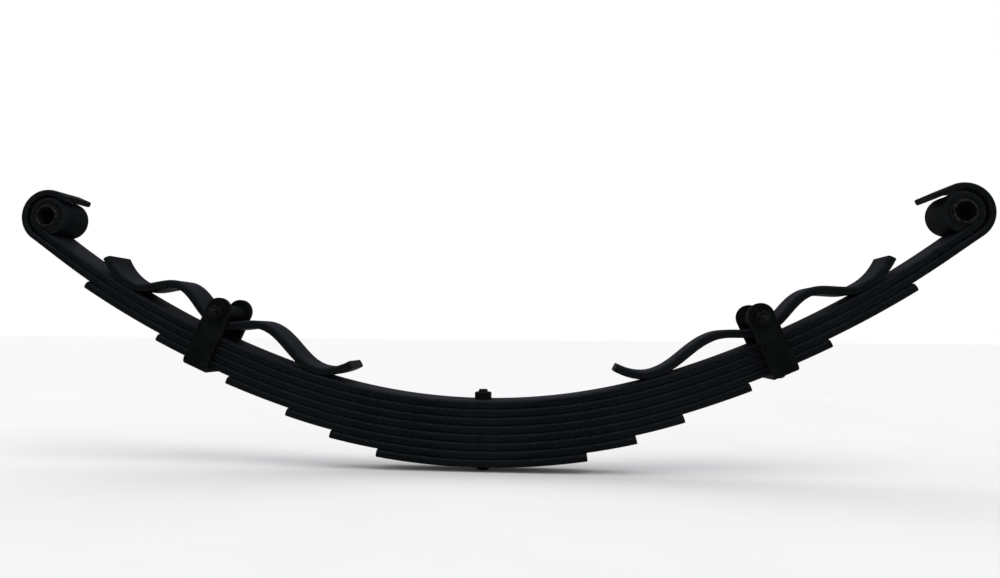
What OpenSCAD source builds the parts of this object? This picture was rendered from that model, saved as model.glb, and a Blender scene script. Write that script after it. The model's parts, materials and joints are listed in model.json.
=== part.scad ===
// Multi-leaf automotive spring with a rolled eye at each end of the main leaf,
// a full wrapper leaf round both eyes, a centre bolt, two bolted rebound clips
// and a wavy anti-rattle spring under each clip.
// Every leaf is bent to the same pair of tangent arcs, so a place along the spring is
// given by s, the length along the top of the main leaf from the bolt,
// and h, the height above that surface. +X is the front end, Z points up.
// The origin is on the axle seat: the underside of the pack on the bolt's axis.

/* [Leaves] */
// Width of every leaf
leaf_w = 65; // [50:1:80]
// Thickness of a leaf with its share of the joint below it
leaf_pitch = 12; // [10:0.5:13]
// Gap left between one leaf and the next
leaf_gap = 0.2; // [0.1:0.05:0.4]
// Radius of the top of the main leaf near the bolt
centre_radius = 880; // [820:10:1000]
// Radius of the top of the main leaf towards the eyes
outer_radius = 1400; // [1300:20:1600]
// Place where the first radius meets the second
radius_change_s = 270; // [240:5:300]
// Half-length of leaf 3
leaf_3_reach = 629; // [615:1:640]
// Half-length of leaf 4
leaf_4_reach = 493; // [480:1:510]
// Half-length of leaf 5
leaf_5_reach = 371; // [350:1:380]
// Half-length of leaf 6
leaf_6_reach = 273; // [250:1:300]
// Half-length of leaf 7
leaf_7_reach = 206; // [180:1:230]
// Half-length of leaf 8, the shortest
leaf_8_reach = 139; // [110:1:160]

/* [Eyes] */
// Place where the main leaf starts to roll into its eye
eye_s = 742; // [735:1:750]
// Radius of the bore in the rolled eye
eye_bore_r = 19; // [18:0.5:20]
// Thickness of the main leaf where the roll begins
eye_root_t = 11; // [9.5:0.1:11.5]
// Thickness of the wall of the eye
eye_wall = 9.8; // [8:0.1:10.5]
// Inner radius of the wrapper round the eye
wrapper_r = 32.3; // [31.5:0.1:33]
// Thickness of the wrapper round the eye
wrapper_wall = 9; // [7.5:0.1:9.5]
// Length of the straight tail of the wrapper at the front
front_wrapper_tail = 30; // [15:1:60]
// Length of the straight tail of the wrapper at the rear
rear_wrapper_tail = 18; // [15:1:60]
// Downward slope of that tail, in degrees
wrapper_tail_slope = 23.5; // [20:0.5:28]

/* [Bushes] */
// Radius of the bore for the vehicle's pin
pin_bore_r = 14; // [12:0.5:14.5]
// Outer radius of the steel sleeve
sleeve_r = 16.2; // [15.8:0.1:17]
// How far the sleeve stands out past each side of the eye
sleeve_proud = 3; // [1:0.5:5]
// How far the rubber stops short of each side of the eye
rubber_recess = 1; // [0.5:0.5:3]

/* [Centre bolt] */
// Thread diameter of the centre bolt
bolt_d = 14; // [12:1:16]
// Diameter of the round locating head
head_d = 19; // [17:0.5:24]
// Height of the round locating head
head_h = 6; // [5:0.5:12]
// Width of the nut across its flats
nut_af = 22; // [21:0.5:24]
// Height of the nut
nut_h = 11; // [9:0.5:13]

/* [Rebound clips] */
// Place of the middle of a clip
clip_s = 420; // [410:1:430]
// Width of the strap
strap_w = 38; // [34:1:42]
// Thickness of the strap
strap_t = 8; // [6:0.5:9]
// Gap between the strap and each side of the leaves
strap_side_gap = 2.5; // [1.5:0.5:4]
// Height of the front clip's bolt above the main leaf
front_clip_bolt_h = 29; // [28:0.5:35]
// Height of the rear clip's bolt above the main leaf
rear_clip_bolt_h = 33.5; // [28:0.5:35]
// Thread diameter of the clip's bolt
clip_bolt_d = 12; // [10:1:12]
// Outer radius of the spacer tube on that bolt
spacer_r = 11; // [10:0.5:11.5]

/* [Anti-rattle springs] */
// Thickness of the wavy plate
wave_t = 12; // [8:0.5:13]
// Middle height of the front plate's inner hump
front_hump_in = 30; // [28:0.5:42]
// Middle height of the front plate's outer hump
front_hump_out = 34; // [30:0.5:44]
// Middle height of the rear plate's inner hump
rear_hump_in = 40; // [28:0.5:42]
// Middle height of the rear plate's outer hump
rear_hump_out = 42; // [30:0.5:44]

/* [Hidden] */
$fn = 96;

FRONT = 1;
REAR = -1;
leaf_count = 8;
leaf_t = leaf_pitch - leaf_gap;
pack_h = leaf_count * leaf_pitch;
step_s = 14;             // spacing of the points along a leaf
arc_step = 6;            // degrees between the points of a rolled end
taper_s = 600;           // where the two long leaves start to thin towards their eyes
fit_gap = 0.05;          // radial running gap in the bush
skin = 0.5;              // stock that a round bore cuts away
hole_clearance = 0.5;    // how much wider a bolt's hole is than the bolt
paint = [0.10, 0.11, 0.12];
steel = [0.30, 0.31, 0.33];
rubber = [0.05, 0.05, 0.05];

// ---- The leaf curve ----
deg = 180 / PI;
change_angle = radius_change_s / centre_radius * deg;
function slope(s) = s < radius_change_s
    ? s / centre_radius * deg
    : change_angle + (s - radius_change_s) / outer_radius * deg;
function arc_point(radius, angle) = radius * [sin(angle), 1 - cos(angle)];
function top_point(s) = s < radius_change_s
    ? arc_point(centre_radius, slope(s))
    : arc_point(centre_radius, change_angle)
        + arc_point(outer_radius, slope(s)) - arc_point(outer_radius, change_angle);
// Point at length s and height h over the front half of the spring
function at(s, h) = top_point(s) + h * [-sin(slope(s)), cos(slope(s))] + [0, pack_h];
function polar(radius, angle) = radius * [cos(angle), sin(angle)];
function stations(from, to) = let (n = ceil((to - from) / step_s))
    [for (i = [0:n]) from + (to - from) * i / n];
function reversed(points) = [for (i = [len(points) - 1:-1:0]) points[i]];
// The outline of a whole leaf, from the outlines of its halves, each drawn for the front
// and running from x = 0 round the leaf's end to x = 0
function both_sides(front, rear) = concat(front, [for (i = [len(rear) - 2:-1:1]) [-rear[i].x, rear[i].y]]);

// ---- Eye and wrapper ----
eye_centre = at(eye_s, eye_bore_r);
eye_r = eye_bore_r + eye_wall;
roll_start = slope(eye_s) - 90;
roll_thin = 60;          // degrees of roll in which the root thins to the eye's wall
roll_end = 330;          // degrees of roll before the tucked end
tuck_gap = 0.4;          // gap between the tucked end and the leaf under it
function long_leaf_t(s) = leaf_t
    - (leaf_t - eye_root_t) * max(0, s - taper_s) / (eye_s - taper_s);
// The rolled wall thins after the root, and its end is cut along the leaf it lies on
function roll_t(turn) = let (
        wall = eye_root_t - (eye_root_t - eye_wall) * min(1, turn / roll_thin),
        room = (eye_bore_r - tuck_gap) / max(0.01, cos(turn)) - eye_bore_r)
    turn > 270 ? min(wall, room) : wall;

wrapper_centre = eye_centre + [1.5, 0];
wrapper_leave_s = 700;   // where the wrapper leaves the main leaf
wrapper_root = at(wrapper_leave_s, -long_leaf_t(wrapper_leave_s) - leaf_gap);
wrapper_reach = norm(wrapper_root - wrapper_centre);
wrapper_bearing = atan2(wrapper_root.y - wrapper_centre.y, wrapper_root.x - wrapper_centre.x);
wrapper_from = wrapper_bearing + acos(wrapper_r / wrapper_reach);
wrapper_to = 90 + wrapper_tail_slope;
function wrapper_arc(radius) = let (n = ceil((wrapper_to - wrapper_from) / arc_step)) [
    for (i = [0:n]) wrapper_centre + polar(radius, wrapper_from + (wrapper_to - wrapper_from) * i / n)
];
tail_direction = [-cos(wrapper_tail_slope), -sin(wrapper_tail_slope)];

// ---- Tools that draw ----
// An outline in the X-Z plane made into a plate across the spring
module across(width) {
    rotate([90, 0, 0]) linear_extrude(width, center = true) children();
}
module cross_hole(centre, radius, length) {
    translate([centre.x, 0, centre.y]) rotate([90, 0, 0]) cylinder(r = radius, h = length, center = true);
}
module bolt_hole() {
    translate([0, 0, -pack_h]) cylinder(d = bolt_d + hole_clearance, h = 3 * pack_h);
}
// A part of one end, drawn for the front and turned round for the rear
module on_end(end) {
    mirror([end == REAR ? 1 : 0, 0, 0]) children();
}
module hex_nut(flats, height, bore) {
    difference() {
        intersection() {
            cylinder(d = flats / cos(30), h = height, $fn = 6);
            union() {
                cylinder(d1 = flats, d2 = flats + height, h = height / 2);
                translate([0, 0, height / 2]) cylinder(d1 = flats + height, d2 = flats, h = height / 2);
            }
        }
        translate([0, 0, -1]) cylinder(d = bore, h = height + 2);
    }
}

// ---- Leaves ----
roll_blend = 8;          // length over which the top of the leaf runs into the bore
function main_half() = concat(
    [for (s = stations(0, eye_s)) at(s, -long_leaf_t(s))],
    [for (turn = [arc_step:arc_step:roll_end])
        eye_centre + polar(eye_bore_r + roll_t(turn), roll_start + turn)],
    reversed([for (turn = [0:arc_step:roll_end])
        eye_centre + polar(eye_bore_r - skin, roll_start + turn)]),
    [for (s = reversed(stations(0, eye_s - roll_blend))) at(s, 0)]
);
function tail_end(radius, tail) = wrapper_centre + polar(radius, wrapper_to) + tail * tail_direction;
function wrapper_half(tail) = concat(
    [for (s = stations(0, wrapper_leave_s)) at(s, -2 * long_leaf_t(s) - leaf_gap)],
    wrapper_arc(wrapper_r + wrapper_wall),
    [tail_end(wrapper_r + wrapper_wall, tail), tail_end(wrapper_r, tail)],
    reversed(wrapper_arc(wrapper_r)),
    [for (s = reversed(stations(0, wrapper_leave_s))) at(s, -long_leaf_t(s) - leaf_gap)]
);
function short_half(number, reach) = concat(
    [for (s = stations(0, reach)) at(s, leaf_gap - number * leaf_pitch)],
    [for (s = reversed(stations(0, reach))) at(s, (1 - number) * leaf_pitch)]
);
module plate(front, rear) {
    color(paint) difference() {
        across(leaf_w) polygon(both_sides(front, rear));
        bolt_hole();
        children();
    }
}
module short_leaf(number, reach) {
    plate(short_half(number, reach), short_half(number, reach)) children();
}
module leaf_1_main() {
    plate(main_half(), main_half())
        for (end = [FRONT, REAR]) on_end(end) cross_hole(eye_centre, eye_bore_r, 2 * leaf_w);
}
module leaf_2_wrapper() {
    plate(wrapper_half(front_wrapper_tail), wrapper_half(rear_wrapper_tail));
}
module leaf_3() {
    short_leaf(3, leaf_3_reach);
}
module leaf_4() {
    short_leaf(4, leaf_4_reach)
        for (end = [FRONT, REAR]) on_end(end) at_clip() rivet_hole();
}
module leaf_5() {
    short_leaf(5, leaf_5_reach);
}
module leaf_6() {
    short_leaf(6, leaf_6_reach);
}
module leaf_7() {
    short_leaf(7, leaf_7_reach);
}
module leaf_8() {
    short_leaf(8, leaf_8_reach);
}

// ---- Centre bolt ----
bolt_end = 4;            // how far the bolt stands out of its nut
bolt_chamfer = 1.5;
head_chamfer = 1;
module centre_bolt() {
    top = pack_h + nut_h + bolt_end;
    color(paint) rotate_extrude() polygon([
        [0, -head_h],
        [head_d / 2 - head_chamfer, -head_h],
        [head_d / 2, head_chamfer - head_h],
        [head_d / 2, 0],
        [bolt_d / 2, 0],
        [bolt_d / 2, top - bolt_chamfer],
        [bolt_d / 2 - bolt_chamfer, top],
        [0, top],
    ]);
}
module centre_nut() {
    turned = 20;         // where the nut's corners came to rest when it was tightened
    color(paint) translate([0, 0, pack_h + leaf_gap]) rotate([0, 0, turned])
        hex_nut(nut_af, nut_h, bolt_d);
}

// ---- Eye bushes ----
module bush_rubber(end) {
    length = leaf_w - 2 * rubber_recess;
    color(rubber) on_end(end) difference() {
        cross_hole(eye_centre, eye_bore_r - fit_gap, length);
        cross_hole(eye_centre, sleeve_r + fit_gap, leaf_w);
    }
}
module bush_sleeve(end) {
    length = leaf_w + 2 * sleeve_proud;
    color(steel) on_end(end) difference() {
        cross_hole(eye_centre, sleeve_r, length);
        cross_hole(eye_centre, pin_bore_r, 2 * leaf_w);
    }
}

// ---- Rebound clips ----
// Drawn about the top of the main leaf at the clip, with x along the leaf and z square to it
clip_leaves = 4;         // leaves that the clip goes round
clip_floor_gap = 0.3;    // gap under the lowest of them
clip_bend_r = 3.5;       // inside radius of the strap's two bends
clip_nut_af = 19;
clip_nut_h = 10;
clip_head_h = 7.5;
clip_bolt_end = 3;
rivet_d = 10;
rivet_head_d = 20;
rivet_head_h = 6;
rivet_top_d = 15;
rivet_top_h = 3;
floor_h = -clip_leaves * leaf_pitch - clip_floor_gap;
inside_w = leaf_w / 2 + strap_side_gap;
outside_w = inside_w + strap_t;
strap_rise = 3.5;        // how far the centre of the strap's rounded top is above its bolt
function bolt_h(end) = end == FRONT ? front_clip_bolt_h : rear_clip_bolt_h;
module at_clip() {
    place = at(clip_s, 0);
    translate([place.x, 0, place.y]) rotate([0, -slope(clip_s), 0]) children();
}
module along_bolt(end, from, to, radius) {
    translate([0, to, bolt_h(end)]) rotate([90, 0, 0]) cylinder(r = radius, h = to - from);
}
module trough(half_width, bottom, bend) {
    height = 2 * leaf_w - bottom;
    translate([-half_width, bottom + bend]) square([2 * half_width, height]);
    translate([bend - half_width, bottom]) square([2 * (half_width - bend), height]);
    for (side = [-1, 1]) translate([side * (half_width - bend), bottom + bend]) circle(bend);
}
module clip_strap(end) {
    top = bolt_h(end) + strap_rise;
    color(paint) on_end(end) at_clip() difference() {
        intersection() {
            rotate([90, 0, 90]) linear_extrude(strap_w, center = true) difference() {
                trough(outside_w, floor_h - strap_t, clip_bend_r + strap_t);
                trough(inside_w, floor_h, clip_bend_r);
            }
            across(3 * leaf_w) {
                translate([0, top]) circle(strap_w / 2);
                translate([-strap_w / 2, floor_h - 2 * strap_t])
                    square([strap_w, top - floor_h + 2 * strap_t]);
            }
        }
        along_bolt(end, -leaf_w, leaf_w, (clip_bolt_d + hole_clearance) / 2);
        rivet_hole();
    }
}
module clip_bolt(end) {
    nut_end = outside_w + clip_nut_h + clip_bolt_end;
    color(paint) on_end(end) at_clip() {
        along_bolt(end, -nut_end, outside_w + skin, clip_bolt_d / 2);
        translate([0, outside_w, bolt_h(end)]) rotate([-90, 0, 0]) intersection() {
            cylinder(d = clip_nut_af / cos(30), h = clip_head_h, $fn = 6);
            cylinder(d1 = clip_nut_af + 2 * clip_head_h, d2 = clip_nut_af, h = clip_head_h);
        }
    }
}
module clip_nut(end) {
    color(paint) on_end(end) at_clip() translate([0, -outside_w, bolt_h(end)]) rotate([90, 0, 0])
        hex_nut(clip_nut_af, clip_nut_h, clip_bolt_d);
}
module clip_spacer(end) {
    half = inside_w - leaf_gap;
    color(paint) on_end(end) at_clip() difference() {
        along_bolt(end, -half, half, spacer_r);
        along_bolt(end, -leaf_w, leaf_w, (clip_bolt_d + hole_clearance) / 2);
    }
}
module rivet_hole() {
    top = (1 - clip_leaves) * leaf_pitch;
    wide = hole_clearance;
    translate([0, 0, top - 4 * leaf_pitch]) cylinder(d = rivet_d + wide, h = 5 * leaf_pitch);
    translate([0, 0, top - rivet_top_h])
        cylinder(d1 = rivet_d + wide, d2 = rivet_top_d + wide, h = rivet_top_h);
}
module clip_rivet(end) {
    top = (1 - clip_leaves) * leaf_pitch - leaf_gap;
    under = floor_h - strap_t;
    head_ball = (pow(rivet_head_d / 2, 2) + pow(rivet_head_h, 2)) / (2 * rivet_head_h);
    color(paint) on_end(end) at_clip() {
        translate([0, 0, under - skin]) cylinder(d = rivet_d, h = top - under + skin);
        translate([0, 0, top - rivet_top_h]) cylinder(d1 = rivet_d, d2 = rivet_top_d, h = rivet_top_h);
        intersection() {
            translate([0, 0, under - rivet_head_h + head_ball]) sphere(head_ball);
            translate([0, 0, under - rivet_head_h]) cylinder(d = rivet_head_d, h = rivet_head_h);
        }
    }
}

// ---- Anti-rattle springs ----
wave_w = leaf_w - 1;
wave_step = 5;
rest_h = wave_t / 2 + leaf_gap;      // middle of the plate where it rests on the main leaf
wave_clearance = 0.5;                // gap between the plate and the spacer over it
function valley_h(end) = bolt_h(end) - spacer_r - wave_t / 2 - wave_clearance;
function hump_in(end) = end == FRONT ? front_hump_in : rear_hump_in;
function hump_out(end) = end == FRONT ? front_hump_out : rear_hump_out;
wave_in_s = 200;         // inner tip
wave_out_s = 625;        // outer tip
inner_rest_s = 252;
inner_hump_s = 350;
outer_hump_s = 498;
outer_rest_s = 568;
outer_lift_s = 576;      // where the plate leaves the main leaf for its outer tip
inner_flare = 22;        // rise of the inner tip
outer_flare = 15.5;      // rise of the outer tip
function ease(s, from, to, low, high) =
    low + (high - low) * (1 - cos(180 * (s - from) / (to - from))) / 2;
// Height of the middle of the plate along the spring
function wave_h(s, end) =
    s < inner_rest_s ? rest_h + inner_flare * pow((inner_rest_s - s) / (inner_rest_s - wave_in_s), 2)
    : s < inner_hump_s ? ease(s, inner_rest_s, inner_hump_s, rest_h, hump_in(end))
    : s < clip_s ? ease(s, inner_hump_s, clip_s, hump_in(end), valley_h(end))
    : s < outer_hump_s ? ease(s, clip_s, outer_hump_s, valley_h(end), hump_out(end))
    : s < outer_rest_s ? ease(s, outer_hump_s, outer_rest_s, hump_out(end), rest_h)
    : s < outer_lift_s ? rest_h
    : rest_h + outer_flare * pow((s - outer_lift_s) / (wave_out_s - outer_lift_s), 2);
// Points of one face of the plate, half its thickness off its middle line
function wave_face(end, side) = [
    for (s = [wave_in_s:wave_step:wave_out_s]) let (
        before = at(s - 1, wave_h(s - 1, end)),
        after = at(s + 1, wave_h(s + 1, end)),
        along = (after - before) / norm(after - before))
    (before + after) / 2 + side * wave_t / 2 * [-along.y, along.x]
];
module wave_spring(end) {
    color(paint) on_end(end) across(wave_w)
        polygon(concat(wave_face(end, -1), reversed(wave_face(end, 1))));
}

leaf_1_main();
leaf_2_wrapper();
leaf_3();
leaf_4();
leaf_5();
leaf_6();
leaf_7();
leaf_8();
centre_bolt();
centre_nut();
bush_rubber(FRONT);  // front_bush_rubber
bush_sleeve(FRONT);  // front_bush_sleeve
bush_rubber(REAR);  // rear_bush_rubber
bush_sleeve(REAR);  // rear_bush_sleeve
clip_strap(FRONT);  // front_clip_strap
clip_bolt(FRONT);  // front_clip_bolt
clip_nut(FRONT);  // front_clip_nut
clip_spacer(FRONT);  // front_clip_spacer
clip_rivet(FRONT);  // front_clip_rivet
clip_strap(REAR);  // rear_clip_strap
clip_bolt(REAR);  // rear_clip_bolt
clip_nut(REAR);  // rear_clip_nut
clip_spacer(REAR);  // rear_clip_spacer
clip_rivet(REAR);  // rear_clip_rivet
wave_spring(FRONT);  // front_wave_spring
wave_spring(REAR);  // rear_wave_spring
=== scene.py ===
"""Looks of the multi-leaf spring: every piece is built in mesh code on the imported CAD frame.

A place along the spring is given by s, the length along the top of the main leaf from the
centre bolt, and h, the height above that surface, as in the CAD model. Lengths are in metres.
"""
import json
import math

import bmesh
import bpy
from mathutils import Matrix, Vector


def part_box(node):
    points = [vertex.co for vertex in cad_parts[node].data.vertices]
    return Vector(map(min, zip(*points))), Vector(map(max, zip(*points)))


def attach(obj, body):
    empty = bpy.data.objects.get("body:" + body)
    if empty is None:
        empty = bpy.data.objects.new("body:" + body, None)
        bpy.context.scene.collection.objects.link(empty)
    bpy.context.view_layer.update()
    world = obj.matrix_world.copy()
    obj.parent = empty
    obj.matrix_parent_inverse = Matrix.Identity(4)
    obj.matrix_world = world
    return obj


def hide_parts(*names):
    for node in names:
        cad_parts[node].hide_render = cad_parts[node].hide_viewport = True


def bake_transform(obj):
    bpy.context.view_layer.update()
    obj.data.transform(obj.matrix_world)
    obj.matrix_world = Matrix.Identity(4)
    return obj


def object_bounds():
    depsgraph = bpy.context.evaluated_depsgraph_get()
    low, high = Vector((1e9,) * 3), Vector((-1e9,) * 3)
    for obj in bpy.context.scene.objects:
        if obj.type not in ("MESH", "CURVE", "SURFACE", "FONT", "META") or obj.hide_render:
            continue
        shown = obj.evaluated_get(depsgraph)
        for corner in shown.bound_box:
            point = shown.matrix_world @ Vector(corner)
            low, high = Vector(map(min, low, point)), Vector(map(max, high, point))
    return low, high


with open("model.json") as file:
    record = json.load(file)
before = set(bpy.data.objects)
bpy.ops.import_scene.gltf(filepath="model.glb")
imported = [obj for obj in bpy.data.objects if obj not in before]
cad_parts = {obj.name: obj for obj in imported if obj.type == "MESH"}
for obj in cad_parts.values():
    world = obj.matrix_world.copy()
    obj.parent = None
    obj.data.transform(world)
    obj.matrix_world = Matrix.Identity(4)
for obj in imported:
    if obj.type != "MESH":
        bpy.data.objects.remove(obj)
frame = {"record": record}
cad_low, cad_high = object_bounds()

SIDES = {"front": 1, "rear": -1}
MOUNTS = {mount["name"]: mount for mount in frame["record"]["mounts"]}
TINY = 1e-6


def extent(node, axis):
    low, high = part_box(node)
    return high[axis] - low[axis]


# ---- Leaves ----
LEAF_W = extent("leaf_8", 1)
LEAF_PITCH = 0.012
LEAF_GAP = 0.0002
LEAF_T = LEAF_PITCH - LEAF_GAP
LEAF_COUNT = 8
PACK_H = LEAF_COUNT * LEAF_PITCH
CENTRE_RADIUS = 0.880
OUTER_RADIUS = 1.400
RADIUS_CHANGE_S = 0.270
CHANGE_ANGLE = RADIUS_CHANGE_S / CENTRE_RADIUS
SHORT_REACH = {3: 0.629, 4: 0.493, 5: 0.371, 6: 0.273, 7: 0.206, 8: 0.139}
TAPER_S = 0.600
LEAF_STEP = 0.008
LEAF_EDGE_R = 0.0045
END_ROUND = 0.0009

# ---- Eyes ----
EYE_S = 0.742
EYE_BORE_R = 0.019
EYE_ROOT_T = 0.011
EYE_WALL = 0.0098
ROLL_THIN = math.radians(60)
ROLL_END = math.radians(330)
TUCK_GAP = 0.0004
WRAPPER_R = 0.0323
WRAPPER_WALL = 0.009
WRAPPER_LEAVE_S = 0.700
WRAPPER_SHIFT = Vector((0.0015, 0.0))
WRAPPER_TAIL = {"front": 0.030, "rear": 0.018}
WRAPPER_TAIL_SLOPE = math.radians(23.5)
ARC_STEP = math.radians(4)

# ---- Bushes ----
PIN_BORE_R = MOUNTS["front_eye_bore"]["dims"]["r_mm"] / 1000
SLEEVE_R = extent("front_bush_sleeve", 2) / 2
SLEEVE_LENGTH = extent("front_bush_sleeve", 1)
RUBBER_R = extent("front_bush_rubber", 2) / 2
RUBBER_LENGTH = extent("front_bush_rubber", 1)
BOND_GAP = 0.00005
RUBBER_BORE_R = SLEEVE_R + BOND_GAP

# ---- Centre bolt ----
HEAD_R = MOUNTS["centre_bolt_head"]["dims"]["r_mm"] / 1000
HEAD_LOW, BOLT_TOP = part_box("centre_bolt")[0].z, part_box("centre_bolt")[1].z
BOLT_R = 0.007
NUT_LOW, NUT_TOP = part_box("centre_nut")[0].z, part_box("centre_nut")[1].z
NUT_FLATS = 0.022
NUT_TURN = math.radians(20)
HOLE_CLEARANCE = 0.00025

# ---- Rebound clips ----
CLIP_S = 0.420
CLIP_BOLT_H = {"front": 0.029, "rear": 0.0335}
CLIP_BOLT_R = 0.006
CLIP_FLATS = 0.019
CLIP_NUT_H = 0.010
CLIP_HEAD_H = 0.0075
CLIP_BOLT_END = 0.003
STRAP_W = 0.038
STRAP_T = 0.008
STRAP_RISE = 0.0035
STRAP_BEND_R = 0.0035
STRAP_EDGE_R = 0.0013
STRAP_SIDE_GAP = 0.0025
STRAP_SEAT_GAP = 0.0003
STRAP_INSIDE = LEAF_W / 2 + STRAP_SIDE_GAP
STRAP_OUTSIDE = STRAP_INSIDE + STRAP_T
CLIPPED_LEAVES = 4
STRAP_FLOOR = -CLIPPED_LEAVES * LEAF_PITCH - STRAP_SEAT_GAP
SPACER_R = 0.011
SPACER_HALF = STRAP_INSIDE - LEAF_GAP
RIVET_R = 0.005
RIVET_HEAD_R = 0.010
RIVET_HEAD_H = 0.006
RIVET_TOP_R = 0.0075
RIVET_TOP_H = 0.003

# ---- Anti-rattle springs ----
WAVE_T = 0.012
WAVE_W = extent("front_wave_spring", 1)
WAVE_HUMPS = {"front": (0.030, 0.034), "rear": (0.040, 0.042)}
WAVE_REST_H = WAVE_T / 2 + LEAF_GAP
WAVE_CLEARANCE = 0.0005
WAVE_VALLEY_H = {end: h - SPACER_R - WAVE_T / 2 - WAVE_CLEARANCE for end, h in CLIP_BOLT_H.items()}
WAVE_IN_S = 0.200
WAVE_OUT_S = 0.625
WAVE_REST_IN_S = 0.252
WAVE_HUMP_IN_S = 0.350
WAVE_HUMP_OUT_S = 0.498
WAVE_REST_OUT_S = 0.568
WAVE_LIFT_S = 0.576
WAVE_FLARE_IN = 0.022
WAVE_FLARE_OUT = 0.0155
WAVE_STEP = 0.004


# ---- The leaf curve ----
def slope(s):
    if s < RADIUS_CHANGE_S:
        return s / CENTRE_RADIUS
    return CHANGE_ANGLE + (s - RADIUS_CHANGE_S) / OUTER_RADIUS


def arc_point(radius, angle):
    return Vector((radius * math.sin(angle), radius * (1 - math.cos(angle))))


def at(s, h):
    """Point in the X-Z plane of the front half at length s and height h."""
    angle = slope(s)
    if s < RADIUS_CHANGE_S:
        top = arc_point(CENTRE_RADIUS, angle)
    else:
        top = arc_point(CENTRE_RADIUS, CHANGE_ANGLE)
        top += arc_point(OUTER_RADIUS, angle) - arc_point(OUTER_RADIUS, CHANGE_ANGLE)
    return top + h * Vector((-math.sin(angle), math.cos(angle))) + Vector((0, PACK_H))


def polar(radius, angle):
    return Vector((radius * math.cos(angle), radius * math.sin(angle)))


def spaced(start, end, step):
    count = max(1, math.ceil(abs(end - start) / step - TINY))
    return [start + (end - start) * i / count for i in range(count + 1)]


# ---- Mesh tools ----
def finish_mesh(name, bm):
    """Turns a bmesh into an object, with outward normals and smooth faces."""
    bmesh.ops.recalc_face_normals(bm, faces=bm.faces)
    mesh = bpy.data.meshes.new(name)
    bm.to_mesh(mesh)
    bm.free()
    mesh.shade_smooth()
    piece = bpy.data.objects.new(name, mesh)
    bpy.context.scene.collection.objects.link(piece)
    return piece


def keep_flats(piece):
    """Shades the large faces flat and only the eased edges round."""
    shade = piece.modifiers.new("flat_faces", "WEIGHTED_NORMAL")
    shade.weight = 100
    shade.keep_sharp = True


def section(width, thickness, edge_r, inset):
    """Points (across, up, edge) round a flat bar's section. edge is 1 on its rounded corners."""
    # The most of the bar's size, and the least of its full radius, that a corner may take
    most, least = 0.45, 0.2
    corner = min(edge_r, most * thickness, most * width)
    corner = max(corner - inset, least * corner)
    half = width / 2 - inset - corner
    low, high = inset + corner, thickness - inset - corner
    steps = 4
    points = []
    for turn, (across, up) in enumerate([(half, low), (half, high), (-half, high), (-half, low)]):
        for i in range(steps + 1):
            angle = math.pi / 2 * (turn - 1 + i / steps)
            points.append((
                across + corner * math.cos(angle),
                up + corner * math.sin(angle),
                math.sin(math.pi * i / steps),
            ))
    return points


def swept(name, frames, place, edge_r, cut_ends=(False, False)):
    """A bar through frames of (low, high, width, s), where low and high are points (along, up).

    place turns (along, across, up) into the row frame. cut_ends says which ends are real
    cut ends with eased edges; the others are seams that meet another piece.
    """
    # Along each eased end: how far back from it, and how deep the outline is let in, as shares
    easing = ((1.0, 0.0), (0.3, 0.3), (0.0, 1.0))
    stations = [(low, high, width, s, 0.0) for low, high, width, s in frames]
    for end, is_cut in ((0, cut_ends[0]), (-1, cut_ends[1])):
        if not is_cut:
            continue
        low, high, width, s, _ = stations[end]
        inner = stations[1] if end == 0 else stations[-2]
        eased = []
        for back, inset in easing:
            share = back * END_ROUND / (low - inner[0]).length
            eased.append((
                low.lerp(inner[0], share), high.lerp(inner[1], share),
                width, s + (inner[3] - s) * share, inset * END_ROUND,
            ))
        stations = eased[::-1] + stations[1:] if end == 0 else stations[:-1] + eased
    bm = bmesh.new()
    lay = bm.verts.layers.float_vector.new("lay")
    edge = bm.verts.layers.float.new("edge")
    rings = []
    for low, high, width, s, inset in stations:
        thickness = (high - low).length
        ring = []
        for across, up, worn_and_highlit in section(width, thickness, edge_r, inset):
            spot = low.lerp(high, up / thickness)
            vert = bm.verts.new(place @ Vector((spot.x, across, spot.y)))
            vert[lay] = Vector((s, across, up))
            vert[edge] = max(worn_and_highlit, inset / END_ROUND)
            ring.append(vert)
        rings.append(ring)
    for ring, after in zip(rings, rings[1:]):
        for i in range(len(ring)):
            j = (i + 1) % len(ring)
            bm.faces.new((ring[i], ring[j], after[j], after[i]))
    caps = (bm.faces.new(rings[0][::-1]), bm.faces.new(rings[-1]))
    for cap, is_cut in zip(caps, cut_ends):
        for side in cap.edges:
            side.smooth = is_cut
    return finish_mesh(name, bm)


def turned(name, profile, place, closed=False, shape=None, steps=72):
    """A turned part from a profile of (radius, height, edge) about its own Z axis.

    closed joins the profile's last point to its first, for a tube. shape(radius, height,
    angle) gives the point's true radius and height, for threads and hexagons.
    """
    bm = bmesh.new()
    lay = bm.verts.layers.float_vector.new("lay")
    edge = bm.verts.layers.float.new("edge")
    rings = []
    for radius, height, worn_and_highlit in profile:
        ring = []
        for i in range(steps if radius > 0 else 1):
            angle = 2 * math.pi * i / steps
            r, z = shape(radius, height, angle) if shape else (radius, height)
            local = Vector((r * math.cos(angle), r * math.sin(angle), z))
            vert = bm.verts.new(place @ local)
            vert[lay] = local
            vert[edge] = worn_and_highlit
            ring.append(vert)
        rings.append(ring)
    pairs = list(zip(rings, rings[1:]))
    if closed:
        pairs.append((rings[-1], rings[0]))
    for ring, after in pairs:
        for i in range(steps):
            j = (i + 1) % steps
            corners = [loop[k % len(loop)] for loop, k in ((ring, i), (ring, j), (after, j), (after, i))]
            bm.faces.new(list(dict.fromkeys(corners)))
    return finish_mesh(name, bm)


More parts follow.
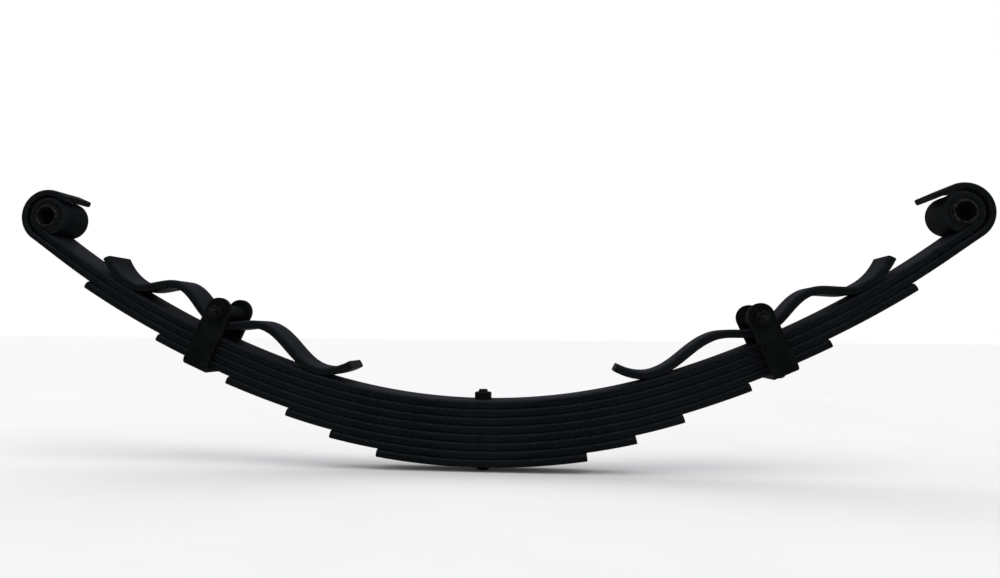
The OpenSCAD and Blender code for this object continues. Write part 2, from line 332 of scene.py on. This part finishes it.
def drill(piece, start, end, radius):
    """Cuts a round hole through a piece, from start to end."""
    axis = end - start
    turn = Vector((0, 0, 1)).rotation_difference(axis).to_matrix().to_4x4()
    place = Matrix.Translation(start) @ turn
    profile = [(0, 0, 0), (radius, 0, 0), (radius, axis.length, 0), (0, axis.length, 0)]
    cutter = turned("cutter", profile, place, steps=48)
    cut = piece.modifiers.new("hole", "BOOLEAN")
    cut.solver = "EXACT"
    cut.object = cutter
    shown = piece.evaluated_get(bpy.context.evaluated_depsgraph_get())
    drilled = bpy.data.meshes.new_from_object(shown)
    piece.modifiers.remove(cut)
    piece.data = drilled
    bpy.data.objects.remove(cutter)


# ---- Materials ----
class Nodes:
    """A small helper for building one material's node tree."""

    def __init__(self, name):
        self.material = bpy.data.materials.new(name)
        self.material.use_nodes = True
        self.tree = self.material.node_tree
        self.shader = self.tree.nodes["Principled BSDF"]

    def feed(self, socket, value):
        """Links a socket to another node's output, or sets it to a plain value."""
        if isinstance(value, bpy.types.NodeSocket):
            self.tree.links.new(value, socket)
        else:
            socket.default_value = value

    def add(self, kind, inputs=(), **settings):
        node = self.tree.nodes.new(kind)
        for key, value in settings.items():
            setattr(node, key, value)
        for key, value in dict(inputs).items():
            self.feed(node.inputs[key], value)
        return node

    def layer(self, name, output):
        """What the mesh stores at its points under this name."""
        return self.add("ShaderNodeAttribute", attribute_name=name).outputs[output]

    def math(self, operation, a, b):
        return self.add("ShaderNodeMath", {0: a, 1: b}, operation=operation).outputs[0]

    def noise(self, vector, scale, detail, roughness):
        node = self.add("ShaderNodeTexNoise", {
            "Vector": vector, "Scale": scale, "Detail": detail, "Roughness": roughness})
        return node.outputs["Fac"]

    def stretched(self, vector, scale):
        return self.add("ShaderNodeMapping", {"Vector": vector, "Scale": scale}).outputs["Vector"]

    def ramp(self, value, low, high, to_low=0.0, to_high=1.0):
        node = self.add("ShaderNodeMapRange", {
            "Value": value, "From Min": low, "From Max": high, "To Min": to_low, "To Max": to_high})
        return node.outputs["Result"]

    def mix(self, share, a, b):
        return self.add("ShaderNodeMix", {0: share, 6: a, 7: b}, data_type="RGBA").outputs[2]

    def bump(self, height, distance, strength, under=None):
        inputs = {"Height": height, "Distance": distance, "Strength": strength}
        if under:
            inputs["Normal"] = under
        return self.add("ShaderNodeBump", inputs).outputs["Normal"]

    def plug(self, socket, value):
        self.feed(self.shader.inputs[socket], value)


PAINT_SHINE = 0.004
# Faces that look up are lighter and lavender: dust, together with a painted sky light
DUST_AND_SKY_LIGHT_COLOUR = (0.017, 0.018, 0.027, 1)
DUST_AND_SKY_LIGHT_COVER = 0.42
RUST_DARK = (0.0042, 0.0038, 0.0036, 1)
RUST_LIGHT = (0.0095, 0.0076, 0.0066, 1)
RUST_ROUGH = 0.85
RUST_EDGE = 0.0003


def shaded(colour, share):
    return (*(share * c for c in colour), 1)


def dust_and_painted_sky_light(m, lay):
    """1 where dust and a painted sky light lie on a face that looks up, in patches."""
    normal = m.add("ShaderNodeNewGeometry").outputs["Normal"]
    facing_up = m.add("ShaderNodeSeparateXYZ", {"Vector": normal}).outputs["Z"]
    patches = m.ramp(m.noise(lay, 38.0, 5.0, 0.65), 0.30, 0.70, 0.35, 1.0)
    return m.math("MULTIPLY", m.ramp(facing_up, 0.35, 0.85), patches)


def inside_bore(m, lay, bore_r):
    """1 on the wall of a bore along the piece's own Z axis, and 0 outside it."""
    across = m.add("ShaderNodeVectorMath", {0: lay, 1: (1.0, 1.0, 0.0)}, operation="MULTIPLY")
    radius = m.add("ShaderNodeVectorMath", {0: across.outputs[0]}, operation="LENGTH")
    return m.ramp(radius.outputs["Value"], bore_r, bore_r + RUST_EDGE, 1.0, 0.0)


def painted(name, colour, worn_and_highlit, rough, wear_and_highlight, grain, dusty_and_sky_lit=0.2, bare_inside=0.0):
    """Black paint over rolled or forged steel: mottled scale, peel, pits, rubbed edges with a painted
    highlight, and dust with a painted sky light on the top faces.

    worn_and_highlit is the colour of the rubbed edges, lighter from wear and from a painted highlight,
    and wear_and_highlight is how much of it shows.
    grain is how long the marks of rolling are: 1 for a forged part, more for a rolled bar.
    dusty_and_sky_lit is how much of the dust and the painted sky light on its top faces shows.
    bare_inside is the radius of a bore that the paint didn't reach, which has a dull brown rust.
    """
    m = Nodes(name)
    lay = m.layer("lay", "Vector")
    edge = m.layer("edge", "Fac")
    along = m.stretched(lay, (1 / grain, 1.0, 1.0))
    scale_marks = m.noise(along, 55.0, 6.0, 0.62)
    rolling = m.noise(m.stretched(lay, (1 / (4 * grain), 1.0, 1.0)), 420.0, 3.0, 0.6)
    peel = m.noise(lay, 620.0, 3.0, 0.55)
    patches = m.noise(lay, 14.0, 3.0, 0.5)
    pit_cells = m.add("ShaderNodeTexVoronoi", {"Vector": along, "Scale": 210.0, "Randomness": 1.0})
    pits = m.ramp(pit_cells.outputs["Distance"], 0.06, 0.20)
    pits = m.math("MAXIMUM", pits, m.ramp(patches, 0.42, 0.56, 1.0, 0.0))
    # Rubbed edges: real wear, together with a painted highlight along the eased edges
    rubbed_and_highlit = m.math("MULTIPLY", edge, m.ramp(m.noise(lay, 160.0, 5.0, 0.7), 0.42, 0.62))
    rubbed_and_highlit = m.math("MULTIPLY", rubbed_and_highlit, wear_and_highlight)
    dust_and_sky_light = dust_and_painted_sky_light(m, lay)

    paint = m.mix(m.ramp(scale_marks, 0.35, 0.68), shaded(colour, 0.72), shaded(colour, 1.45))
    # Painted sky light and dust: the faces that look up are lighter and lavender
    paint = m.mix(m.math("MULTIPLY", dust_and_sky_light, DUST_AND_SKY_LIGHT_COVER * dusty_and_sky_lit), paint, DUST_AND_SKY_LIGHT_COLOUR)
    # The rubbed edges' lighter colour: wear and a painted highlight
    paint = m.mix(rubbed_and_highlit, paint, (*worn_and_highlit, 1))
    roughness = m.ramp(scale_marks, 0.30, 0.72, rough - 0.07, rough + 0.10)
    roughness = m.math("ADD", roughness, m.math("MULTIPLY", dust_and_sky_light, 0.25))
    roughness = m.math("SUBTRACT", roughness, m.math("MULTIPLY", rubbed_and_highlit, 0.10))
    if bare_inside:
        bare = inside_bore(m, lay, bare_inside)
        paint = m.mix(bare, paint, m.mix(m.ramp(scale_marks, 0.40, 0.60), RUST_DARK, RUST_LIGHT))
        roughness = m.math("MAXIMUM", roughness, m.math("MULTIPLY", bare, RUST_ROUGH))
    m.plug("Base Color", paint)
    m.plug("Roughness", roughness)
    m.plug("Specular IOR Level", PAINT_SHINE)

    relief = None
    for height, depth, strength in (
        (scale_marks, 0.00022, 0.55), (rolling, 0.00008, 0.45),
        (peel, 0.00006, 0.40), (pits, 0.00025, 0.50),
    ):
        relief = m.bump(height, depth, strength, relief)
    m.plug("Normal", relief)
    return m.material


def moulded_rubber(name):
    """Matt black rubber with a fine skin and a greyish bloom."""
    m = Nodes(name)
    lay = m.layer("lay", "Vector")
    skin = m.noise(lay, 900.0, 4.0, 0.6)
    bloom = m.ramp(m.noise(lay, 90.0, 5.0, 0.6), 0.40, 0.66)
    m.plug("Base Color", m.mix(bloom, (0.0035, 0.0035, 0.0035, 1), (0.0080, 0.0080, 0.0084, 1)))
    m.plug("Roughness", m.ramp(skin, 0.3, 0.7, 0.72, 0.90))
    m.plug("Specular IOR Level", 0.12)
    m.plug("Normal", m.bump(skin, 0.00008, 0.6))
    return m.material


# The edge colours are lighter for wear and for a painted highlight on the eased edges
SPRING_PAINT = painted(
    "spring_paint", colour=(0.0034, 0.0042, 0.0047), worn_and_highlit=(0.022, 0.023, 0.026),
    rough=0.50, wear_and_highlight=0.30, grain=5.0, dusty_and_sky_lit=1.0)
CLIP_PAINT = painted(
    "clip_paint", colour=(0.0032, 0.0038, 0.0039), worn_and_highlit=(0.020, 0.021, 0.021),
    rough=0.50, wear_and_highlight=0.55, grain=1.6)
FASTENER_PAINT = painted(
    "fastener_paint", colour=(0.0028, 0.0033, 0.0034), worn_and_highlit=(0.024, 0.024, 0.025),
    rough=0.46, wear_and_highlight=0.50, grain=1.0)
SLEEVE_PAINT = painted(
    "sleeve_paint", colour=(0.0045, 0.0048, 0.0050), worn_and_highlit=(0.038, 0.038, 0.039),
    rough=0.38, wear_and_highlight=0.85, grain=1.0, bare_inside=PIN_BORE_R)
BUSH_RUBBER = moulded_rubber("bush_rubber")


def dress(piece, material, node):
    """Gives a piece its material and hides the CAD node that it stands for."""
    keep_flats(piece)
    piece.data.materials.clear()
    piece.data.materials.append(material)
    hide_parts(node)


def bend(piece):
    """Bakes the placing of a piece of leaf into its mesh."""
    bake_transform(piece)


# ---- Leaf outlines, as frames of (low, high, width, s) ----
def long_leaf_t(s):
    return LEAF_T - (LEAF_T - EYE_ROOT_T) * max(0.0, s - TAPER_S) / (EYE_S - TAPER_S)


EYE_CENTRE = at(EYE_S, EYE_BORE_R)
ROLL_START = slope(EYE_S) - math.pi / 2
LEAST_COSINE = 0.01


def roll_t(turn):
    """Wall of the rolled eye. Its end is thinned, so that it lies just above the leaf's top."""
    wall = EYE_ROOT_T - (EYE_ROOT_T - EYE_WALL) * min(1.0, turn / ROLL_THIN)
    if turn > 1.5 * math.pi:
        room = (EYE_BORE_R - TUCK_GAP) / max(LEAST_COSINE, math.cos(turn)) - EYE_BORE_R
        return min(wall, room)
    return wall


def main_frames(_, start, stop):
    """The main leaf from start to stop; past the eye's root it rolls round the bush."""
    flat = spaced(start, min(stop, EYE_S), LEAF_STEP)
    frames = [(at(s, -long_leaf_t(s)), at(s, 0), LEAF_W, s) for s in flat]
    if stop > EYE_S:
        for turn in spaced(0, ROLL_END, ARC_STEP)[1:]:
            outer = EYE_CENTRE + polar(EYE_BORE_R + roll_t(turn), ROLL_START + turn)
            inner = EYE_CENTRE + polar(EYE_BORE_R, ROLL_START + turn)
            frames.append((outer, inner, LEAF_W, EYE_S + turn * EYE_BORE_R))
    return frames


def wrapper_frames(end, start, stop):
    """The wrapper from start to stop; past its last station it goes round the eye to its tail."""
    def pair(s):
        return at(s, -2 * long_leaf_t(s) - LEAF_GAP), at(s, -long_leaf_t(s) - LEAF_GAP)

    frames = [(*pair(s), LEAF_W, s) for s in spaced(start, min(stop, WRAPPER_LEAVE_S), LEAF_STEP)]
    if stop <= WRAPPER_LEAVE_S:
        return frames
    # From its last flat station it runs straight to where it touches the ring round the eye
    centre = EYE_CENTRE + WRAPPER_SHIFT
    root = pair(WRAPPER_LEAVE_S)[1] - centre
    first = math.atan2(root.y, root.x) + math.acos(WRAPPER_R / root.length)
    last = math.pi / 2 + WRAPPER_TAIL_SLOPE

    def ring(angle, shift=Vector((0, 0))):
        low = centre + polar(WRAPPER_R + WRAPPER_WALL, angle) + shift
        return low, centre + polar(WRAPPER_R, angle) + shift

    reach = WRAPPER_LEAVE_S
    leave, arrive = frames[-1][:2], ring(first)
    for share in (0.25, 0.5, 0.75):
        low, high = (a.lerp(b, share) for a, b in zip(leave, arrive))
        frames.append((low, high, LEAF_W, reach + share * root.length))
    reach += root.length
    for angle in spaced(first, last, ARC_STEP):
        frames.append((*ring(angle), LEAF_W, reach + (angle - first) * WRAPPER_R))
    reach += (last - first) * WRAPPER_R
    run = Vector((-math.cos(WRAPPER_TAIL_SLOPE), -math.sin(WRAPPER_TAIL_SLOPE)))
    for length in spaced(0, WRAPPER_TAIL[end], LEAF_STEP)[1:]:
        frames.append((*ring(last, run * length), LEAF_W, reach + length))
    return frames


def short_frames(number):
    def frames(_, start, stop):
        low, high = LEAF_GAP - number * LEAF_PITCH, (1 - number) * LEAF_PITCH
        return [(at(s, low), at(s, high), LEAF_W, s) for s in spaced(start, stop, LEAF_STEP)]
    return frames


# A reach past the eye's root, which tells the long leaves to go round the eye
PAST_EYE_S = 1.0
LEAVES = {
    "leaf_1_main": (main_frames, PAST_EYE_S),
    "leaf_2_wrapper": (wrapper_frames, PAST_EYE_S),
    **{f"leaf_{n}": (short_frames(n), reach) for n, reach in SHORT_REACH.items()},
}


def build_leaf(node, end):
    """One half of a leaf, in an inner piece up to the clip and an outer piece beyond it."""
    outline, reach = LEAVES[node]
    place = Matrix.Diagonal((SIDES[end], 1, 1, 1))
    parts = [("inner", 0, min(reach, CLIP_S))]
    if reach > CLIP_S:
        parts.append(("outer", CLIP_S, reach))
    for part, start, stop in parts:
        frames = outline(end, start, stop)
        piece = swept(f"{node}_{end}_{part}", frames, place, LEAF_EDGE_R, (False, stop == reach))
        if part == "inner":
            past_top = Vector((0, 0, 2 * PACK_H))
            drill(piece, -past_top, past_top, BOLT_R + HOLE_CLEARANCE)
        dress(piece, SPRING_PAINT, node)
        bend(piece)


for leaf in LEAVES:
    for end in SIDES:
        build_leaf(leaf, end)


# ---- Anti-rattle springs ----
def eased(s, start, stop, low, high):
    return low + (high - low) * (1 - math.cos(math.pi * (s - start) / (stop - start))) / 2


def flare(s, start, stop, rise):
    return WAVE_REST_H + rise * ((s - start) / (stop - start)) ** 2


def wave_h(s, end):
    """Height of the middle of the wavy plate at length s."""
    hump_in, hump_out = WAVE_HUMPS[end]
    valley = WAVE_VALLEY_H[end]
    if s < WAVE_REST_IN_S:
        return flare(s, WAVE_REST_IN_S, WAVE_IN_S, WAVE_FLARE_IN)
    if s < WAVE_HUMP_IN_S:
        return eased(s, WAVE_REST_IN_S, WAVE_HUMP_IN_S, WAVE_REST_H, hump_in)
    if s < CLIP_S:
        return eased(s, WAVE_HUMP_IN_S, CLIP_S, hump_in, valley)
    if s < WAVE_HUMP_OUT_S:
        return eased(s, CLIP_S, WAVE_HUMP_OUT_S, valley, hump_out)
    if s < WAVE_REST_OUT_S:
        return eased(s, WAVE_HUMP_OUT_S, WAVE_REST_OUT_S, hump_out, WAVE_REST_H)
    if s < WAVE_LIFT_S:
        return WAVE_REST_H
    return flare(s, WAVE_LIFT_S, WAVE_OUT_S, WAVE_FLARE_OUT)


def wave_frames(end, start, stop):
    nudge = 0.001
    frames = []
    for s in spaced(start, stop, WAVE_STEP):
        before = at(s - nudge, wave_h(s - nudge, end))
        after = at(s + nudge, wave_h(s + nudge, end))
        along = (after - before).normalized()
        up = WAVE_T / 2 * Vector((-along.y, along.x))
        middle = (before + after) / 2
        frames.append((middle - up, middle + up, WAVE_W, s))
    return frames


def build_wave(end):
    node = f"{end}_wave_spring"
    place = Matrix.Diagonal((SIDES[end], 1, 1, 1))
    for part, start, stop in (("inner", WAVE_IN_S, CLIP_S), ("outer", CLIP_S, WAVE_OUT_S)):
        frames = wave_frames(end, start, stop)
        cut_ends = (part == "inner", part == "outer")
        piece = swept(f"{node}_{part}", frames, place, LEAF_EDGE_R, cut_ends)
        dress(piece, SPRING_PAINT, node)
        bend(piece)


for end in SIDES:
    build_wave(end)


# ---- Threads, nuts and heads ----
THREAD_PITCH = 0.0018
THREAD_RUNOUT = 0.4
THREAD_IN_NUT = 0.001
NUT_FACE = 0.47
NUT_CHAMFER = math.radians(30)
NUT_LEAD = 0.0009


def threaded(start, stop, depth, hand):
    """A shape for turned(): a screw thread cut between two heights."""
    def shape(radius, height, angle):
        run_in = max(0.0, (height - start) / THREAD_PITCH)
        run_out = max(0.0, (stop - height) / THREAD_PITCH + THREAD_RUNOUT)
        phase = (height / THREAD_PITCH - hand * angle / (2 * math.pi)) % 1.0
        if start < height <= stop:
            radius -= depth * min(1.0, run_in, run_out) * abs(2 * phase - 1)
        return radius, height
    return shape


def thread_profile(radius, low, high):
    """Stations close enough along a bolt for threaded() to show its turns."""
    return [(radius, z, 0.6) for z in spaced(low, high, THREAD_PITCH / 8)]


def bolt_end(radius, top, lead, fall):
    """The chamfered end of a bolt. Halfway in, the chamfer is fall times lead below the top."""
    return [(radius - 0.5 * lead, top - fall * lead, 1), (radius - lead, top, 1), (0, top, 0.2)]


def hexagon(flats, low, high, both_faces):
    """A shape for turned(): a hexagon with its corners turned down at its low face, or at both."""
    face_r = NUT_FACE * flats

    def shape(radius, height, angle):
        if radius <= face_r + TINY:
            return radius, height
        across = flats / 2 / math.cos((angle % (math.pi / 3)) - math.pi / 6)
        drop = (across - face_r) * math.tan(NUT_CHAMFER)
        if height <= low + TINY:
            height += drop
        if height >= high - TINY and both_faces:
            height -= drop
        return across, height
    return shape


def nut(name, flats, low, high, bore, place):
    """A hexagon nut with a countersunk bore."""
    face_r = NUT_FACE * flats
    side = (high - low) / 4
    profile = [
        (bore, low + NUT_LEAD, 0), (bore + NUT_LEAD, low, 0.7), (face_r, low, 0.5),
        (flats, low, 1), (flats, low + side, 0.1), (flats, high - side, 0.1), (flats, high, 1),
        (face_r, high, 0.5), (bore + NUT_LEAD, high, 0.7), (bore, high - NUT_LEAD, 0),
    ]
    shape = hexagon(flats, low, high, both_faces=True)
    return turned(name, profile, place, closed=True, shape=shape)


# ---- Centre bolt ----
def centre_bolt():
    """The centre bolt, from its round head up to the end of its thread."""
    ease = 0.0010
    lead = 0.0014
    shaft_low = 0.0006
    thread_low = NUT_TOP - THREAD_IN_NUT
    thread_high = BOLT_TOP - lead
    head = [
        (0, HEAD_LOW, 0), (0.6 * HEAD_R, HEAD_LOW, 0.3), (HEAD_R - ease, HEAD_LOW, 0.7),
        (HEAD_R - 0.3 * ease, HEAD_LOW + 0.4 * ease, 1), (HEAD_R, HEAD_LOW + ease, 0.8),
        (HEAD_R, -0.5 * ease, 0.4), (HEAD_R - 0.3 * ease, 0, 0.8), (BOLT_R, 0, 0),
    ]
    shaft = [(BOLT_R, z, 0.1) for z in spaced(shaft_low, thread_low, 0.02)]
    thread = thread_profile(BOLT_R, thread_low, thread_high)[1:]
    profile = head + shaft + thread + bolt_end(BOLT_R, BOLT_TOP, lead, 0.45)
    shape = threaded(thread_low, thread_high, depth=0.0009, hand=1)
    return turned("centre_bolt_turned", profile, Matrix.Identity(4), shape=shape)


def build_centre_bolt():
    bolt = centre_bolt()
    dress(bolt, FASTENER_PAINT, "centre_bolt")
    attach(bolt, "leaf_pack")
    place = Matrix.Rotation(NUT_TURN, 4, "Z")
    hexed = nut("centre_nut_hexagon", NUT_FLATS, NUT_LOW, NUT_TOP, BOLT_R, place)
    dress(hexed, FASTENER_PAINT, "centre_nut")
    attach(hexed, "leaf_pack")


build_centre_bolt()


# ---- Bushes ----
BUSH_STEPS = 96


def sleeve_profile():
    """The wall of the steel sleeve, with eased ends."""
    ease = 0.0007
    bulge = 0.3 * ease
    outside, inside = [], []
    for turn in (-1, 1):
        z = turn * SLEEVE_LENGTH / 2
        outside.append([
            (SLEEVE_R, z - turn * ease, 0.7),
            (SLEEVE_R - bulge, z - turn * bulge, 1),
            (SLEEVE_R - ease, z, 0.8),
        ])
        inside.append([
            (PIN_BORE_R + ease, z, 0.8),
            (PIN_BORE_R + bulge, z - turn * bulge, 1),
            (PIN_BORE_R, z - turn * ease, 0.3),
        ])
    return inside[0][::-1] + outside[0][::-1] + outside[1] + inside[1]


def rubber_profile():
    """The wall of the rubber tube, with a bulged lip at each end."""
    half = RUBBER_LENGTH / 2
    wall = RUBBER_R - RUBBER_BORE_R
    lip = 0.0009
    steps = 8
    profile = []
    for turn in (-1, 1):
        rim = []
        for i in range(steps + 1):
            angle = math.pi * i / steps
            radius = RUBBER_BORE_R + wall * (1 - math.cos(angle)) / 2
            rim.append((radius, turn * (half - lip * (1 - math.sin(angle))), 0))
        profile += rim[::-turn]
    return profile


def build_bush(end):
    """The steel sleeve in its rubber tube."""
    middle = Vector(MOUNTS[f"{end}_eye_bore"]["pos_m"])
    middle.y = 0
    place = Matrix.Translation(middle) @ Matrix.Rotation(math.pi / 2, 4, "X")
    sleeve = turned(f"{end}_bush_sleeve_tube", sleeve_profile(), place, closed=True, steps=BUSH_STEPS)
    dress(sleeve, SLEEVE_PAINT, f"{end}_bush_sleeve")
    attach(sleeve, f"{end}_pin_sleeve")
    rubber = turned(f"{end}_bush_rubber_tube", rubber_profile(), place, closed=True, steps=BUSH_STEPS)
    dress(rubber, BUSH_RUBBER, f"{end}_bush_rubber")
    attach(rubber, f"{end}_eye")


for end in SIDES:
    build_bush(end)


# ---- Rebound clips ----
STRAP_STEP = 0.008


def clip_place(end):
    """Turns the clip's own frame, X along the leaf and Z square to it, into the row frame."""
    foot = at(CLIP_S, 0)
    turn = Matrix.Rotation(-slope(CLIP_S), 4, "Y")
    mirror = Matrix.Diagonal((SIDES[end], 1, 1, 1))
    return mirror @ Matrix.Translation((foot.x, 0, foot.y)) @ turn


def strap_frames(end):
    """The strap's path in its (across, up) plane, from one rounded top down and round to the other."""
    radius = STRAP_W / 2
    top = CLIP_BOLT_H[end] + STRAP_RISE
    path = []
    for lift in spaced(math.radians(87), 0, math.radians(5)):
        up = top + radius * math.sin(lift)
        path.append((STRAP_INSIDE, up, STRAP_OUTSIDE, up, 2 * radius * math.cos(lift)))
    corner = Vector((STRAP_INSIDE - STRAP_BEND_R, STRAP_FLOOR + STRAP_BEND_R))
    for up in spaced(top, corner.y, STRAP_STEP)[1:]:
        path.append((STRAP_INSIDE, up, STRAP_OUTSIDE, up, STRAP_W))
    for turn in spaced(0, -math.pi / 2, math.radians(9))[1:]:
        inner = corner + polar(STRAP_BEND_R, turn)
        outer = corner + polar(STRAP_BEND_R + STRAP_T, turn)
        path.append((inner.x, inner.y, outer.x, outer.y, STRAP_W))
    for across in spaced(corner.x, 0, STRAP_STEP)[1:]:
        path.append((across, STRAP_FLOOR, across, STRAP_FLOOR - STRAP_T, STRAP_W))
    other = [(-a, b, -c, d, width) for a, b, c, d, width in path[-2::-1]]
    frames, length = [], 0.0
    for a, b, c, d, width in path + other:
        outer = Vector((c, d))
        if frames:
            length += (outer - frames[-1][1]).length
        frames.append((Vector((a, b)), outer, width, length))
    return frames


def bent_strap(end, place):
    """The strap with its holes for the bolt and the rivet."""
    across_first = Matrix(((0, 1, 0, 0), (1, 0, 0, 0), (0, 0, 1, 0), (0, 0, 0, 1)))
    strap = swept(f"{end}_clip_strap_bent", strap_frames(end), place @ across_first, STRAP_EDGE_R)
    bolt_axis = [place @ Vector((0, y, CLIP_BOLT_H[end])) for y in (-LEAF_W, LEAF_W)]
    drill(strap, *bolt_axis, CLIP_BOLT_R + HOLE_CLEARANCE)
    rivet_axis = [place @ Vector((0, 0, h)) for h in (2 * STRAP_FLOOR, 0)]
    drill(strap, *rivet_axis, RIVET_R + HOLE_CLEARANCE)
    return strap


def clip_bolt(end, along):
    """The bolt, from its hexagon head on the far side to its end past the nut on the near side."""
    low, high = -STRAP_OUTSIDE - CLIP_HEAD_H, -STRAP_OUTSIDE
    tip = STRAP_OUTSIDE + CLIP_NUT_H + CLIP_BOLT_END
    lead = 0.0011
    thread_low = STRAP_OUTSIDE + CLIP_NUT_H - THREAD_IN_NUT
    thread_high = tip - lead
    head = [
        (0, low, 0.2), (NUT_FACE * CLIP_FLATS, low, 0.5), (CLIP_FLATS, low, 1),
        (CLIP_FLATS, low + CLIP_HEAD_H / 3, 0.1), (CLIP_FLATS, high, 0.3),
    ]
    seat = [(CLIP_BOLT_R, high, 0), (CLIP_BOLT_R, 0, 0)]
    thread = thread_profile(CLIP_BOLT_R, thread_low, thread_high)
    profile = head + seat + thread + bolt_end(CLIP_BOLT_R, tip, lead, 0.4)
    screw = threaded(thread_low, thread_high, depth=0.0008, hand=SIDES[end])
    six = hexagon(CLIP_FLATS, low, high, both_faces=False)

    def shape(radius, height, angle):
        return six(radius, height, angle) if height < 0 else screw(radius, height, angle)

    return turned(f"{end}_clip_bolt_hexagon", profile, along, shape=shape)


def clip_spacer(end, along):
    """The spacer tube over the bolt, between the strap's legs."""
    bore = CLIP_BOLT_R + HOLE_CLEARANCE
    ease = 0.0006
    plain = SPACER_HALF - 8 * ease
    body = [(SPACER_R, z, 0.05) for z in spaced(-plain, plain, STRAP_STEP)]
    rim = [
        (SPACER_R, SPACER_HALF - ease, 0.8),
        (SPACER_R - ease, SPACER_HALF, 1),
        (bore, SPACER_HALF, 0.2),
    ]
    other = [(radius, -z, worn_and_highlit) for radius, z, worn_and_highlit in rim[::-1]]
    return turned(f"{end}_clip_spacer_tube", other + body + rim, along, closed=True)


def clip_rivet(end, place):
    """The rivet, from its round head under the strap to its countersunk head in the fourth leaf."""
    under = STRAP_FLOOR - STRAP_T
    top = -(CLIPPED_LEAVES - 1) * LEAF_PITCH - LEAF_GAP
    ball = (RIVET_HEAD_R ** 2 + RIVET_HEAD_H ** 2) / (2 * RIVET_HEAD_H)
    sweep = math.asin(RIVET_HEAD_R / ball)
    steps = 10
    profile = []
    for i in range(steps + 1):
        angle = sweep * i / steps
        up = under - RIVET_HEAD_H + ball * (1 - math.cos(angle))
        profile.append((ball * math.sin(angle), up, 0.15))
    shank = [(RIVET_R, under, 0), (RIVET_R, top - RIVET_TOP_H, 0)]
    profile += shank + [(RIVET_TOP_R, top, 0), (0, top, 0)]
    return turned(f"{end}_clip_rivet_domed", profile, place)


def build_clip(end):
    place = clip_place(end)
    along = place @ Matrix.Translation((0, 0, CLIP_BOLT_H[end])) @ Matrix.Rotation(math.pi / 2, 4, "X")
    nut_top = STRAP_OUTSIDE + CLIP_NUT_H
    strap = bent_strap(end, place)
    dress(strap, CLIP_PAINT, f"{end}_clip_strap")
    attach(strap, f"{end}_arm")
    fasteners = {
        "bolt": clip_bolt(end, along),
        "nut": nut(f"{end}_clip_nut_hexagon", CLIP_FLATS, STRAP_OUTSIDE, nut_top, CLIP_BOLT_R, along),
        "spacer": clip_spacer(end, along),
        "rivet": clip_rivet(end, place),
    }
    for part, piece in fasteners.items():
        dress(piece, FASTENER_PAINT, f"{end}_clip_{part}")
        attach(piece, f"{end}_arm")


for end in SIDES:
    build_clip(end)


# ---- Floor, light and camera ----
FLOOR_HALF = 30
FLOOR_GAP = 0.0005


def build_floor():
    bm = bmesh.new()
    bmesh.ops.create_grid(bm, x_segments=2, y_segments=2, size=FLOOR_HALF)
    floor = finish_mesh("studio_floor", bm)
    floor.location.z = cad_low.z - FLOOR_GAP
    m = Nodes("studio_floor")
    spot = m.add("ShaderNodeTexCoord").outputs["Object"]
    cast = m.ramp(m.noise(spot, 3.0, 4.0, 0.6), 0.3, 0.7)
    m.plug("Base Color", m.mix(cast, (0.55, 0.55, 0.55, 1), (0.57, 0.57, 0.57, 1)))
    m.plug("Roughness", 0.9)
    m.plug("Specular IOR Level", 0.1)
    floor.data.materials.append(m.material)


def soft_sun(name, toward, strength, spread, colour):
    """A broad even light that shines from the direction toward, spread over some degrees of sky."""
    data = bpy.data.lights.new(name, "SUN")
    data.energy = strength
    data.angle = math.radians(spread)
    data.color = colour
    lamp = bpy.data.objects.new(name, data)
    lamp.rotation_mode = "QUATERNION"
    lamp.rotation_quaternion = Vector(toward).to_track_quat("Z", "Y")
    bpy.context.scene.collection.objects.link(lamp)


def build_light():
    world = bpy.data.worlds.new("studio")
    world.use_nodes = True
    sky = world.node_tree.nodes["Background"]
    sky.inputs["Color"].default_value = (1.0, 1.0, 1.0, 1)
    sky.inputs["Strength"].default_value = 1.0
    bpy.context.scene.world = world
    soft_sun("key", toward=(0.55, -0.55, 1.3), strength=1.5, spread=40, colour=(1.0, 0.99, 0.98))
    soft_sun("back", toward=(-0.4, 0.8, 1.1), strength=1.1, spread=50, colour=(0.90, 0.92, 1.0))


# The viewing angle of the picture, fitted to the spring's outline
CAMERA_PLACE = Vector((0.1334, -1.2053, 0.1907))
CAMERA_YAW = math.radians(-5.207)
CAMERA_PITCH = math.radians(3.243)
CAMERA_ROLL = math.radians(0.485)
FOCAL_SHARE = 0.81484
SENSOR_W = 36.0


def build_camera():
    """The camera, aimed by its yaw, pitch and roll from a level look along +Y."""
    data = bpy.data.cameras.new("camera")
    data.sensor_fit = "HORIZONTAL"
    data.sensor_width = SENSOR_W
    data.lens = FOCAL_SHARE * SENSOR_W
    data.clip_start = 0.01
    data.clip_end = 200
    camera = bpy.data.objects.new("camera", data)
    bpy.context.scene.collection.objects.link(camera)
    ahead = Vector((math.sin(CAMERA_YAW), math.cos(CAMERA_YAW), 0))
    right = Vector((math.cos(CAMERA_YAW), -math.sin(CAMERA_YAW), 0))
    up = Vector((0, 0, 1))
    look = ahead * math.cos(CAMERA_PITCH) + up * math.sin(CAMERA_PITCH)
    rise = up * math.cos(CAMERA_PITCH) - ahead * math.sin(CAMERA_PITCH)
    right, rise = (
        right * math.cos(CAMERA_ROLL) + rise * math.sin(CAMERA_ROLL),
        rise * math.cos(CAMERA_ROLL) - right * math.sin(CAMERA_ROLL),
    )
    turn = Matrix((right, rise, -look)).transposed().to_4x4()
    camera.matrix_world = Matrix.Translation(CAMERA_PLACE) @ turn
    bpy.context.scene.camera = camera


build_floor()
build_light()
build_camera()
bpy.context.scene.view_settings.view_transform = "Standard"
